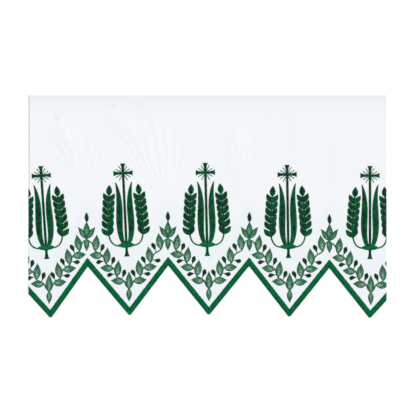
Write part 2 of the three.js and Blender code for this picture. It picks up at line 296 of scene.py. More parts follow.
cloth = {
    "thickness": 1.2,
    "hemWidth": 15.0,
    "hemRise": 0.6,
    "hemRamp": 14.0,
    "edgeInset": 0.9,  # from the zigzag's outer line to the cut edge inside the edging
    "gridStep": 2.6,
    "roundEdge": 0.45,
    "rimSteps": [0.1, 0.3, 1.0],  # of the close columns inside each side
    "rimShares": [0.0003, 0.001, 0.003],  # of the close rows inside the other edges
    "foldFade": 3.0,  # one over the share of its length that a soft lift fades over at each end
    "folds": [  # from x, y to x, y along each soft lift, its sideways bow, half width and rise
        (-262, 158, -208, 14, -9, 25, 0.8),
        (-176, 172, -80, 62, -4, 28, 1.1),
        (-74, 122, -70, 3, 0, 26, 0.7),
        (46, 168, 70, 10, 8, 26, 0.9),
        (172, 172, 130, 86, -6, 29, 1.0),
        (244, 152, 207, 2, 4, 26, 0.8),
    ],
    "white": (0.826, 0.834, 0.864),
    "shaded": (0.798, 0.809, 0.845),
    "roughness": 0.88,
    "specular": 0.2,
    "stitchedShadeAndBounce": (0.75, 0.803, 0.827),  # painted shade and green light bounced off the thread, on the cloth among the stitching
    "stitchedReach": (88.0, 128.0),  # over the zigzag, from where the painted shade and bounce light fade to where they end
    "fleckScale": 480.0,
    "fleckSpread": (0.25, 0.6),
    "weavePitch": 0.55,
    "yarnScale": (60.0, 1500.0),  # of the noise along a yarn and across it
    "yarnRelief": (0.5, 0.6, 0.6),  # shares of the weave, the weft and the warp
    "yarnDepth": 0.04,
    "yarnStrength": 0.7,
    "cloudScale": 9.0,
    "toneShares": (0.5, 0.3, 0.3),  # of the clouds, the weft and the warp
    "toneSpread": (0.4, 0.7),
    "rippleStep": 4.4,
    "rippleFlare": 76.0,
    "rippleHeight": 0.17,
    "rippleMiddleY": 102.0,
    "rippleFull": 0.3,  # share of a fan's reach within which its ripples are full
    "broadBends": 9.0,
    "bendScale": 24.0,
    "bends": 7.0,
    "ripples": [  # x that a fan rises from, x where it shows most, how far it shows, and its share
        (-202, -220, 82, 0.8),
        (-66, -84, 98, 1.0),
        (70, 56, 88, 0.55),
        (206, 206, 70, 0.25),
    ],
    "fanY": -20.0,
    "topShade": (0.757, 0.775, 0.78),
    "topShadeReach": 46.0,
    # A painted shadow line just inside the left side: its colour, where it lies and where it fades
    "sideShadowLine": (0.52, 0.525, 0.54),
    "sideShadowInset": (0.8, 1.3, 2.0, 2.5),  # of the painted shadow line along the left side, from its start to its end
    "sideShadowFade": (-60.0, 90.0),
    "rightShadeReach": 6.0,
    "rightShade": 0.45,
    "marks": [  # x, y, radius and strength of each faint mark
        (-255, 151, 8, 0.7),
        (-283, 176, 9, 0.3),
        (-161, 171, 6, 0.7),
        (-112, 172, 9, 0.4),
    ],
    "markShade": (0.72, 0.74, 0.79),
    "markWobble": 10.0,
}

# Puckers round the stitching. Each wave has a length over two pi along x and one along y.
pucker = {
    "height": 0.09,
    "topY": 96.0,
    "fade": 60.0,
    "broad": (8.3, 11.0),
    "sway": (1.7, 21.0),  # how far the broad waves are shifted, in radians, and over what length
    "fine": (5.1, 13.0),
    "slow": (37.0, 6.7),  # of the waves that let the fine ones come and go
    "fineShare": 0.6,
    "shifts": (1.1, 0.4),
}


def foldHeight(x, y):
    # A sum of soft lifts, each a raised cosine across its crest that fades out at both ends
    lift = np.zeros_like(x)
    for fromX, fromY, toX, toY, bow, halfWidth, rise in cloth["folds"]:
        dx, dy = toX - fromX, toY - fromY
        length = math.hypot(dx, dy)
        along = ((x - fromX) * dx + (y - fromY) * dy) / length**2
        side = ((x - fromX) * dy - (y - fromY) * dx) / length
        away = np.abs(side - bow * 4.0 * along * (1.0 - along)) / halfWidth
        fade = smoothStep(along * cloth["foldFade"]) * smoothStep((1.0 - along) * cloth["foldFade"])
        lift = lift + rise * fade * 0.5 * (1.0 + np.cos(np.pi * np.clip(away, 0.0, 1.0)))
    return lift


def puckerHeight(x, y):
    # Broad uneven waves and a share of finer ones, each from a product of two sines
    (broadX, broadY), (fineX, fineY), (slowX, slowY) = pucker["broad"], pucker["fine"], pucker["slow"]
    (swayed, swayY), (broadShift, fineShift) = pucker["sway"], pucker["shifts"]
    wave = np.sin(x / broadX + swayed * np.sin(y / swayY)) * np.sin(y / broadY + broadShift)
    fine = pucker["fineShare"] * np.sin(x / fineX - y / fineY + fineShift)
    wave = wave + fine * np.sin(x / slowX + y / slowY)
    return pucker["height"] * wave * smoothStep((pucker["topY"] - y) / pucker["fade"])


def hemHeight(y):
    return cloth["hemRise"] * smoothStep((y - zigzag["topY"] + cloth["hemWidth"]) / cloth["hemRamp"])


def faceHeight(x, y):
    return cloth["thickness"] + foldHeight(x, y) + puckerHeight(x, y) + hemHeight(y)


def clothPaint():
    # A plain weave as a product of two sines, thicker and thinner yarns, and faint pulled ripples
    # that fan out above each gap between motifs. A ripple is a sine of x from the gap over one plus
    # a squared y, bent by noise, and each fan shows most on the side of the gap that is listed.
    paint = Paint("white_weave")
    place = paint.place()
    x, y = paint.axes(place)[:2]
    turns = 2.0 * math.pi / (cloth["weavePitch"] * mm)
    weave = (x * turns).sine() * (y * turns).sine()
    slow, fast = cloth["yarnScale"]
    weft = paint.noise(paint.stretched(place, (slow, fast, slow)), 1.0, 2.0)
    warp = paint.noise(paint.stretched(place, (fast, slow, slow)), 1.0, 2.0)
    cloudy = paint.noise(place, cloth["cloudScale"])
    clouds, wefts, warps = cloth["toneShares"]
    tone = paint.spread(cloudy * clouds + weft * wefts + warp * warps, *cloth["toneSpread"])
    color = paint.mixed(tone, opaque(*cloth["shaded"]), opaque(*cloth["white"]))
    flecks = paint.noise(place, cloth["fleckScale"], 2.0)
    # Painted shade and green bounce light on the cloth among the stitching, broken up by fine flecks
    bouncedShade = paint.attribute("stitched") * paint.spread(flecks, *cloth["fleckSpread"])
    color = paint.mixed(bouncedShade, color, opaque(*cloth["stitchedShadeAndBounce"]))
    top, half = zigzag["topY"] * mm, zigzag["halfWidth"] * mm
    toTop = paint.spread(y, top - cloth["topShadeReach"] * mm, top)
    toRight = paint.spread(x, half - cloth["rightShadeReach"] * mm, half) * cloth["rightShade"]
    topShade = opaque(*cloth["topShade"])
    color = paint.mixed(toRight, paint.mixed(toTop * toTop, color, topShade), topShade)
    # Painted shadow: a grey line just inside the left side, fading out low on the cloth
    start, full, ending, gone = [edge * mm - half for edge in cloth["sideShadowInset"]]
    lowFade, highFade = [height * mm for height in cloth["sideShadowFade"]]
    line = paint.spread(x, start, full) * paint.spread(x, gone, ending)
    line = line * paint.spread(y, lowFade, highFade)
    color = paint.mixed(line, color, opaque(*cloth["sideShadowLine"]))
    for markX, markY, radius, strength in cloth["marks"]:
        away = paint.distance(place, (markX * mm, markY * mm, cloth["thickness"] * mm))
        away = away + (cloudy - 0.5) * (cloth["markWobble"] * mm)
        spot = paint.spread(away, radius * mm, 0.0, "SMOOTHSTEP") * strength
        color = paint.mixed(spot, color, opaque(*cloth["markShade"]))
    up = (y - cloth["fanY"] * mm) * (1.0 / (cloth["rippleFlare"] * mm))
    flare = up * up + 1.0
    bends = cloudy * cloth["broadBends"] + paint.noise(place, cloth["bendScale"], 1.0) * cloth["bends"]
    ripple = 0.0
    for fanX, middleX, reach, share in cloth["ripples"]:
        across = ((x - fanX * mm) / flare) * (2.0 * math.pi / (cloth["rippleStep"] * mm))
        away = paint.distance(place, (middleX * mm, cloth["rippleMiddleY"] * mm, 0.0))
        fading = paint.spread(away, reach * mm, reach * cloth["rippleFull"] * mm, "SMOOTHSTEP")
        ripple = (across + bends).sine() * fading * share + ripple
    arcs = paint.bump(ripple, cloth["rippleHeight"] * mm)
    weaves, wefts, warps = cloth["yarnRelief"]
    yarns = weave * weaves + weft * wefts + warp * warps
    return paint.finish({
        "Base Color": color,
        "Roughness": cloth["roughness"],
        "Specular IOR Level": cloth["specular"],
        "Normal": paint.bump(yarns, cloth["yarnDepth"] * mm, cloth["yarnStrength"], arcs),
    })


def clothColumns():
    # Even steps between the sides and the corners of the edge, and close ones for the round sides
    half = zigzag["halfWidth"]
    bends = insetCorners(cloth["edgeInset"])[1:-1, 0]
    stops = np.sort(np.concatenate([[-half, half], bends]))
    runs = []
    for start, end in zip(stops[:-1], stops[1:]):
        count = max(1, round((end - start) / cloth["gridStep"]))
        runs.append(np.linspace(start, end, count, endpoint=False))
    rim = np.array(cloth["rimSteps"])
    return np.unique(np.concatenate([*runs, [half], -half + rim, half - rim]))


def makeCloth():
    # A grid from the zigzag to the top edge, as a face and an underside that meet round the rim
    x = clothColumns()
    low = edgeHeight(x, cloth["edgeInset"])
    rows = round((zigzag["topY"] - low.min()) / cloth["gridStep"])
    rim = np.array(cloth["rimShares"])
    share = np.unique(np.concatenate([np.linspace(0.0, 1.0, rows + 1), rim, 1.0 - rim]))
    gridX = np.repeat(x[None, :], len(share), 0)
    gridY = low + (zigzag["topY"] - low) * share[:, None]
    sideGap = zigzag["halfWidth"] - np.abs(gridX)
    gap = np.minimum(sideGap, np.minimum(gridY - low, zigzag["topY"] - gridY)) / cloth["roundEdge"]
    drop = 1.0 - np.sqrt(1.0 - (1.0 - np.clip(gap, 0.0, 1.0)) ** 2)
    top = faceHeight(gridX, gridY)
    bottom = foldHeight(gridX, gridY)
    middle = (top + bottom) / 2.0
    face = np.stack([gridX, gridY, top + (middle - top) * drop], -1).reshape(-1, 3)
    under = np.stack([gridX, gridY, bottom + (middle - bottom) * drop], -1).reshape(-1, 3)
    height, width = gridX.shape
    index = np.arange(height * width).reshape(height, width)
    quads = np.stack([index[:-1, :-1], index[:-1, 1:], index[1:, 1:], index[1:, :-1]], -1).reshape(-1, 4)
    below = height * width
    loop = np.concatenate([index[0, :-1], index[:-1, -1], index[-1, :0:-1], index[:0:-1, 0]])
    ahead = np.roll(loop, -1)
    walls = np.stack([loop + below, ahead + below, ahead, loop], -1)
    faces = np.concatenate([quads, quads[:, ::-1] + below, walls])
    piece = addPiece("cloth_sheet", np.concatenate([face, under]), faces, clothPaint())
    # How far over the zigzag the painted shade and bounce light among the stitching reach
    near, far = cloth["stitchedReach"]
    stitched = smoothStep((far - (gridY - low)) / (far - near)).ravel()
    stitchShadeMask = piece.data.attributes.new("stitched", "FLOAT", "POINT")
    stitchShadeMask.data.foreach_set("value", np.concatenate([stitched, 0.0 * stitched]).astype(np.float32))
    return piece


# Threads: each stitch is a closed three-sided strand that rises out of the cloth, crosses the
# motif and dips again. A profile lists the share of the way along it and the share of its rise.
profiles = {
    "satin": [(0.0, 0.0), (0.12, 0.66), (0.5, 1.0), (0.88, 0.66), (1.0, 0.0)],
    "short": [(0.0, 0.0), (0.5, 1.0), (1.0, 0.0)],
    "edging": [(0.0, 0.0), (0.1, 0.7), (0.4, 1.0), (0.78, 0.94), (0.94, 0.6), (1.0, -0.5)],
}

# How strands vary from one to the next, and how they lie
strandFacts = {
    "widths": (0.9, 1.1),  # shares of the plain width and rise that strands vary between
    "rises": (0.94, 1.06),
    "toneSpread": 0.06,
    "twistStarts": 20.0,  # length of twist that strands start anywhere in
    "lift": 0.06,  # of the ends over the cloth
    "lowest": 0.02,  # height that no strand goes under
    "shortest": 1e-6,  # length that a strand is divided by at least
    "sideGap": 0.1,  # between the cut sides and the strands that end there
}


class Stitches:
    # Strands gathered into one mesh, each group given by its plan ends
    def __init__(self, facts, number=0):
        self.random = np.random.default_rng(facts["seed"] + number)
        self.strand = facts["strand"]  # a strand's width and depth
        self.vertices = []
        self.faces = []
        self.shades = []
        self.threads = []
        self.count = 0

    def add(self, starts, ends, rise, shade, profile="satin", raised=0.0, width=None):
        # A crest line from start to end over the cloth, and a lower line on each side of it
        starts, ends, keep = cutAtSides(np.array(starts), np.array(ends))
        count = len(starts)
        if count == 0:
            return
        steps = np.array(profiles[profile])
        share = steps[:, 0][None, :, None]
        line = starts[:, None, :] * (1.0 - share) + ends[:, None, :] * share
        run = ends - starts
        length = np.maximum(np.linalg.norm(run, axis=1), strandFacts["shortest"])
        across = np.stack([-run[:, 1], run[:, 0]], 1) / length[:, None]
        wide = self.strand[0] if width is None else np.broadcast_to(width, keep.shape)[keep]
        wide = wide * self.random.uniform(*strandFacts["widths"], count)
        lift = np.broadcast_to(rise, keep.shape)[keep]
        lift = lift * self.random.uniform(*strandFacts["rises"], count)
        base = faceHeight(line[..., 0], line[..., 1])
        crest = base + (lift[:, None] + raised) * steps[:, 1] + strandFacts["lift"]
        skirt = np.maximum(crest - self.strand[1], strandFacts["lowest"])
        sideways = across[:, None, :] * (wide / 2.0)[:, None, None]
        rings = [
            np.concatenate([line + sideways, skirt[..., None]], -1),
            np.concatenate([line - sideways, skirt[..., None]], -1),
            np.concatenate([line, crest[..., None]], -1),
        ]
        self.vertices.append(np.stack(rings, 2).reshape(-1, 3))
        self.faces.append(strandFaces(count, len(steps)) + self.count)
        self.count += count * len(steps) * 3
        tone = np.broadcast_to(shade, (len(keep), len(steps)))[keep]
        tone = tone + self.random.normal(0.0, strandFacts["toneSpread"], (count, 1))
        self.shades.append(np.repeat(tone[..., None], 3, -1).ravel())
        offset = self.random.uniform(0.0, strandFacts["twistStarts"], count)
        along = length[:, None] * steps[:, 0] + offset[:, None]
        thread = np.zeros((count, len(steps), 3, 3))
        thread[..., 0] = along[..., None]
        thread[..., 1] = (-1.0, 1.0, 0.0)  # at the two lower lines and the crest
        self.threads.append(thread.reshape(-1, 3))

    def make(self, name, material):
        piece = addPiece(name, np.concatenate(self.vertices), np.concatenate(self.faces), material)
        shade = piece.data.attributes.new("shade", "FLOAT", "POINT")
        tones = np.clip(np.concatenate(self.shades), 0.0, 1.0)
        shade.data.foreach_set("value", tones.astype(np.float32))
        thread = piece.data.attributes.new("thread", "FLOAT_VECTOR", "POINT")
        thread.data.foreach_set("vector", np.concatenate(self.threads).astype(np.float32).ravel())
        return piece


def cutAtSides(starts, ends):
    # Stitches past the cut sides are dropped, and those that cross a side end there
    half = zigzag["halfWidth"] - strandFacts["sideGap"]
    keep = (np.abs(starts[:, 0]) < half) | (np.abs(ends[:, 0]) < half)
    starts, ends = starts[keep], ends[keep]

    def pulled(far, near):
        over = np.abs(far[:, 0]) > half
        run = np.where(over, far[:, 0] - near[:, 0], 1.0)
        share = np.where(over, (np.sign(far[:, 0]) * half - near[:, 0]) / run, 1.0)
        return near + (far - near) * share[:, None]

    starts = pulled(starts, ends)
    return starts, pulled(ends, starts), keep


def strandFaces(count, steps):
    # Two triangles on each of the three sides between steps, and one at each end, all facing out
    base = (np.arange(steps - 1) * 3)[:, None]
    a = base + np.array([0, 1, 2])
    b = base + np.array([1, 2, 0])
    first = np.stack([a, b, b + 3], -1).reshape(-1, 3)
    second = np.stack([a, b + 3, a + 3], -1).reshape(-1, 3)
    last = (steps - 1) * 3
    ends = np.array([[0, 2, 1], [last, last + 1, last + 2]])
    one = np.concatenate([first, second, ends])
    return (one[None] + (np.arange(count) * steps * 3)[:, None, None]).reshape(-1, 3)


# What all threads share, whatever their colour
threadFacts = {
    "speckleScale": 900.0,
    "speckle": 0.5,
    "patchScale": 230.0,
    "twist": (9.0, 1.5),  # radians of the twist in a mm along a strand, and from its crest to a side
    "twistDepth": 0.02,
    "twistStrength": 0.6,
    "specular": 0.05,
}


def threadPaint(name, facts):
    # Dark and light thread mixed by each stitch's shade value, which holds its own tone and the painted
    # sheen and shade given to it, with a fine twist along it
    paint = Paint(name)
    speckle = paint.noise(paint.place(), threadFacts["speckleScale"], 2.0)
    patches = paint.noise(paint.place(), threadFacts["patchScale"], 2.0)
    uneven = (speckle - 0.5) * threadFacts["speckle"] + (patches - 0.5) * facts["mottle"]
    tone = paint.spread(paint.attribute("shade") + uneven, 0.0, 1.0)
    along, side = paint.axes(paint.attribute("thread", "Vector"))[:2]
    perLength, perSide = threadFacts["twist"]
    twist = (along * perLength + side * perSide).sine()
    return paint.finish({
        "Base Color": paint.mixed(tone, opaque(*facts["dark"]), opaque(*facts["light"])),
        "Roughness": facts["roughness"],
        "Specular IOR Level": threadFacts["specular"],
        "Normal": paint.bump(twist, threadFacts["twistDepth"] * mm, threadFacts["twistStrength"]),
    })


# Zigzag edging
edging = {
    "seed": 11,
    "width": 8.2,
    "pitch": 0.48,
    "tipRadius": 2.2,
    "tipReach": 1.35,  # of a tip's arc along each straight length, in radii
    "leastShare": 0.05,  # of the width that a stitch near a corner crosses
    "leastGap": 0.01,  # of a corner's mitre, or it is taken as square
    "strand": (0.82, 0.5),
    "rise": 1.15,
    "shade": 0.62,
    "raggedInner": 0.26,
    "raggedOuter": 0.06,
    "outerBulge": 0.7,  # of the thread past the cloth's cut edge, and past the band's inner line
    "innerBulge": 0.3,
    "dark": (0.0, 0.08, 0.026),
    "light": (0.0, 0.192, 0.062),
    "roughness": 0.6,
    "mottle": 1.1,
    "acrossSheenShade": [-0.5, -0.38, 0.14, -0.22, -0.58, -0.6],  # painted shade where the stitches dip at both lines and painted sheen on their crest, from the inner line to the outer one
    "waveTone": (0.06, 7.0),  # along the edging, how strong and over what length
}


def tipRound(past):
    # How far an arc that touches both straight lengths at a tip lies inside one of them
    radius = edging["tipRadius"]
    reach = edging["tipReach"] * radius
    return radius - np.sqrt(radius**2 - np.clip(reach - past, 0.0, radius) ** 2)


def makeEdging():
    # Stitches square to each straight length, from the band's inner line to its outer one. A share
    # of 0 is the outer line, and the mitres at the two corners bound the shares that a stitch has.
    stitches = Stitches(edging)
    wide = edging["width"]
    waving, waveLength = edging["waveTone"]
    outer, inner = outerCorners(), insetCorners(wide)
    for start, end, innerStart, innerEnd in zip(outer[:-1], outer[1:], inner[:-1], inner[1:]):
        length = np.linalg.norm(end - start)
        along = (end - start) / length
        normal = np.array([-along[1], along[0]])
        before = (innerStart - start) @ along
        after = (innerEnd - end) @ along
        places = np.arange(min(0.0, before), length + max(0.0, after), edging["pitch"])
        low, high = np.zeros_like(places), np.ones_like(places)
        for gap, past in ((before, places), (after, places - length)):
            if abs(gap) > edging["leastGap"]:
                ratio = past / gap
                inward = (gap > 0.0) == (past is places)
                low, high = (low, np.minimum(high, ratio)) if inward else (np.maximum(low, ratio), high)
        for past, rounded in ((places, before > 0.0), (length - places, after < 0.0)):
            if rounded:
                low = np.maximum(low, tipRound(past) / wide)
        keep = high - low > edging["leastShare"]
        places, low, high = places[keep][:, None], low[keep], high[keep]
        ragged = stitches.random.normal(0.0, 1.0, (2, len(low)))
        innerEnds = high * wide + ragged[0] * edging["raggedInner"] + edging["innerBulge"]
        outerEnds = low * wide + ragged[1] * edging["raggedOuter"] - edging["outerBulge"]
        top = start + along * places + normal * innerEnds[:, None]
        bottom = start + along * places + normal * outerEnds[:, None]
        # Each stitch's tone, with the painted sheen and shade across the band
        shade = edging["shade"] + waving * np.sin(places / waveLength) + np.array(edging["acrossSheenShade"])
        stitches.add(top, bottom, edging["rise"], shade, "edging")
    return stitches.make("edging_stitches", threadPaint("edging_thread", edging))


# Crosses and sheaves
emblem = {
    "seed": 30,
    "footV": 100.0,
    "topV": 257.0,
    "armV": 241.0,
    "armReach": 16.0,
    "barWidth": 4.5,
    "flareWidth": 10.0,
    "flareLength": 9.0,
    "footWidth": 10.5,
    "rayReach": 14.0,
    "rayWidth": 1.6,
    "rayRise": 0.7,  # share of the plain rise
    "rayDegrees": [30, 60, 120, 150, 210, 240, 300, 330],
    "earStalk": [(0, 119), (37, 112), (31, 142), (25.5, 207)],
    "stalkWidth": 2.6,
    "kernels": (0.35, 0.97, 6),  # shares of the stalk at the first and last, and pairs before the last
    "kernelLength": 18.6,
    "kernelWidth": 10.6,
    "kernelSpread": 31.0,
    "kernelSlant": 20.0,
    "blade": [(0, 114), (20, 142), (1, 186), (14, 226)],
    "bladeWidth": 12.0,
    "bladeSpan": (0.06, 0.93),  # where a blade's width starts in half a wave, and how far it runs
    "bladeFullness": 0.7,
    "bladeSlant": 14.0,
    "tieV": 119.0,
    "tieWidth": 27.0,
    "tieHeight": 9.0,
    "stalkRaised": 0.1,  # these lie over the pieces before them by so much
    "kernelRaised": (0.1, 0.02),  # of the first kernels, and more for each pair after them
    "staffRaised": 0.25,
    "armRaised": 0.3,
    "tieRaised": 0.55,
    "pitch": 0.5,
    "strand": (0.84, 0.5),
    "rise": 0.95,
    "dark": (0.006, 0.026, 0.012),
    "light": (0.003, 0.18, 0.062),
    "roughness": 0.6,
    "mottle": 1.6,
    "armSheenShade": [0.8, 0.6, 0.2, 0.6, 0.8],  # painted sheen and shade across an arm of the cross, darkest along its middle
}

# Painted sheen and shade of satin: its plain level, what thread that runs upright adds, what thread that
# runs towards the light loses, and the painted shade across an upright bar, from one side to the other
sheen = {
    "level": 0.38,
    "upright": 0.4,
    "turned": 0.12,
    "lightFrom": 40.0,
    "core": [1.0, 0.9, 0.0, 0.9, 1.0],
    "coreLevel": 0.6,
    "coreShare": 0.5,
}

# Satin across a line
ribbonFacts = {
    "ragged": 0.07,
    "leastHalf": 0.2,  # half width under which nothing is stitched
    "fullHalf": 1.6,  # half width under which the stitches lie lower
    "leastRise": 0.35,  # share of the rise that the narrowest ones keep
}


def shadeAcross(starts, ends):
    # Painted shade and sheen: thread that crosses an upright bar is painted darker, and darkest along
    # the middle of the bar, and thread square to the light is painted brighter than thread that runs
    # towards it
    run = ends - starts
    upright = np.abs(run[:, 1]) / np.maximum(np.linalg.norm(run, axis=1), strandFacts["shortest"])
    turned = np.arctan2(run[:, 1], run[:, 0]) - math.radians(sheen["lightFrom"])
    level = sheen["level"] + sheen["upright"] * smoothStep(upright)
    level = level - sheen["turned"] * np.cos(2.0 * turned)
    core = np.array(sheen["core"]) - sheen["coreLevel"]
    return level[:, None] + (1.0 - upright)[:, None] * sheen["coreShare"] * core


class Motif:
    # Draws bars, leaves and ribbons in a motif's own frame, which is turned and moved to its place
    def __init__(self, stitches, origin=(0.0, 0.0), degrees=0.0):
        self.stitches = stitches
        self.origin = np.array(origin, float)
        self.axis = unit(degrees)

    def placed(self, points):
        c, s = self.axis
        turned = np.stack([points[:, 0] * c - points[:, 1] * s, points[:, 0] * s + points[:, 1] * c], 1)
        return self.origin + turned

    def ribbon(self, line, widthAt, pitch, rise, raised=0.0, slant=0.0, tone=None):
        # Satin stitches across a line, as wide as widthAt gives for the share of the way along it
        places, heading, share = spaced(np.array(line, float), pitch)
        normal = np.stack([-heading[:, 1], heading[:, 0]], 1)
        way = normal * math.cos(math.radians(slant)) + heading * math.sin(math.radians(slant))
        half = widthAt(share) / 2.0
        ragged = self.stitches.random.normal(0.0, ribbonFacts["ragged"], (2, len(half)))
        starts = self.placed(places - way * (half + ragged[0])[:, None])
        ends = self.placed(places + way * (half + ragged[1])[:, None])
        keep = half > ribbonFacts["leastHalf"]
        starts, ends, half = starts[keep], ends[keep], half[keep]
        full = rise * np.clip(half / ribbonFacts["fullHalf"], ribbonFacts["leastRise"], 1.0)
        shade = shadeAcross(starts, ends) if tone is None else tone
        self.stitches.add(starts, ends, full, shade, "satin", raised)


def evenWidth(width):
    return lambda share: np.full_like(share, width)


def leafWidth(share, width, fullness=0.85):
    return np.sin(np.pi * share**fullness) * width


def bladeWidth(share):
    start, span = emblem["bladeSpan"]
    return emblem["bladeWidth"] * np.sin(np.pi * (start + span * share)) ** emblem["bladeFullness"]


def flaredBar(motif, start, end, endWidth, raised, tone=None):
    # Even up to the flare, then slowly wider over two thirds of it and quickly over the last third
    length = math.dist(start, end)
    flare = emblem["flareLength"]
    wide = emblem["barWidth"]
    stations = [0.0, length - flare, length - flare / 3.0, length]
    widths = [wide, wide, (wide * 2.0 + endWidth) / 3.0, endWidth]
    widthAt = lambda share: np.interp(share * length, stations, widths)
    motif.ribbon([start, end], widthAt, emblem["pitch"], emblem["rise"], raised, 0.0, tone)


def makeEmblem(number):
    # Rays first, then a blade and an ear on its stalk to each side, the staff, the two arms that
    # make a cross of it, and the tie over all
    stitches = Stitches(emblem, number)
    motif = Motif(stitches, zigzag["tips"][number], zigzag["leanDegrees"][number])
    pitch, rise = emblem["pitch"], emblem["rise"]
    centre = (0.0, emblem["armV"])
    for degrees in emblem["rayDegrees"]:
        tip = centre + emblem["rayReach"] * unit(degrees)
        motif.ribbon([centre, tip], evenWidth(emblem["rayWidth"]), pitch, rise * emblem["rayRise"])
    for side in (-1, 1):
        slant = emblem["bladeSlant"] * side
        motif.ribbon(bezier(emblem["blade"], side), bladeWidth, pitch, rise, 0.0, slant)
        stalk = bezier(emblem["earStalk"], side)
        motif.ribbon(stalk, evenWidth(emblem["stalkWidth"]), pitch, rise, emblem["stalkRaised"])
        makeEar(motif, stalk)
    staffFoot, staffTop = (0.0, emblem["footV"]), (0.0, emblem["topV"])
    flaredBar(motif, centre, staffFoot, emblem["footWidth"], emblem["staffRaised"])
    flaredBar(motif, centre, staffTop, emblem["flareWidth"], emblem["staffRaised"])
    # The arms carry painted shade along their middle and painted sheen to their sides
    for side in (-1, 1):
        arm = (side * emblem["armReach"], emblem["armV"])
        flaredBar(motif, centre, arm, emblem["flareWidth"], emblem["armRaised"], emblem["armSheenShade"])
    tieLine = [(-emblem["tieWidth"] / 2.0, emblem["tieV"]), (emblem["tieWidth"] / 2.0, emblem["tieV"])]
    tieHeight = lambda share: emblem["tieHeight"] * np.sqrt(1.0 - (2.0 * share - 1.0) ** 2)
    motif.ribbon(tieLine, tieHeight, pitch, rise, emblem["tieRaised"])
    return stitches


def makeEar(motif, stalk):
    # Kernels in pairs up the stalk and one at its end, each a leaf of slanted satin
    first, last, pairs = emblem["kernels"]
    share = first + (last - first) * np.arange(pairs + 1) / pairs
    places, heading = stalkPlaces(stalk, share)
    degrees = np.degrees(np.arctan2(heading[:, 1], heading[:, 0]))
    widthAt = lambda t: leafWidth(t, emblem["kernelWidth"])
    base, step = emblem["kernelRaised"]
    for i in range(pairs + 1):
        spreads = (-emblem["kernelSpread"], emblem["kernelSpread"]) if i < pairs else (0.0,)
        for spread in spreads:
            tip = places[i] + emblem["kernelLength"] * unit(degrees[i] + spread)
            slant = math.copysign(emblem["kernelSlant"], spread) if spread else 0.0
            raised = base + step * i
            motif.ribbon([places[i], tip], widthAt, emblem["pitch"], emblem["rise"], raised, slant)


def stalkPlaces(stalk, share):
    # Points of the sampled curve at shares of its length, and the way it heads there
    steps = np.diff(stalk, axis=0)
    run = np.concatenate([[0.0], np.cumsum(np.linalg.norm(steps, axis=1))])
    at = share * run[-1]
    places = np.stack([np.interp(at, run, stalk[:, k]) for k in (0, 1)], 1)
    heading = steps[np.clip(np.searchsorted(run, at) - 1, 0, len(steps) - 1)]
    return places, heading / np.linalg.norm(heading, axis=1)[:, None]


# Garlands
garland = {
    "seed": 50,
    "offset": 28.0,
    "stemWidth": 2.6,
    "stemRise": 0.7,
    "stemPlaces": 100,  # points that its line is drawn through
    "wave": 2.0,
    "leafStep": 14.2,
    "firstLeaf": 15.0,
    "outerClear": 37.0,
    "innerClear": 21.0,
    "outerLeaf": 22.0,
    "innerLeaf": 27.0,
    "leafWidth": 12.8,
    "leafAngle": 46.0,
    "outerBud": 15.0,
    "innerBud": 18.0,
    "budWidth": 7.8,
    "budAngle": 60.0,
    "budAhead": 5.2,
    "budClear": 24.0,
    "budFullness": 2.0,
    "budSlant": 12.0,
    "knotOverlap": 1.0,
    "knotLength": 30.0,
    "knotWidth": 12.0,
    "sideShare": 0.8,
    "downShare": 0.72,
    "knotSpread": 36.0,
    "knotBudLength": 17.5,
    "knotBudWidth": 7.6,
    "knotBudFullness": 0.85,
    "strand": (0.72, 0.42),
    "pitch": 0.5,
    "fillPitch": 0.5,
    "fillStarts": (0.3, 0.7),  # shares of the pitch that stitches start between
    "fillAhead": 0.8,  # of a stitch's reach to the side, so far forward its end lies
    "fillWidth": 0.66,
    "fillWidths": (0.6, 1.25),  # shares of the width that stitches vary between
    "fillShade": 0.66,
    "fillToneSpread": 0.16,
    "fillRise": 0.35,
    "budShade": 0.05,
    "rimStitch": 2.6,
    "rimOverlap": 0.6,  # share of a stitch's length after which the next one starts
    "rimAskew": 0.12,
    "rimWidth": 1.8,
    "rimShade": 0.28,
    "rimRise": 0.55,
    "rimPlaces": 40,
    "ribShare": 0.9,
    "ribWidth": 1.0,
    "ribShade": 0.38,
    "ribRise": 0.5,
    "ribPlaces": 20,
    "budStalkWidth": 1.3,
    "budStalkRise": 0.6,
    "budStalkPlaces": 12,
    "rise": 0.85,
    "dark": (0.006, 0.036, 0.016),
    "light": (0.05, 0.3, 0.135),
    "roughness": 0.65,
    "mottle": 0.4,
}


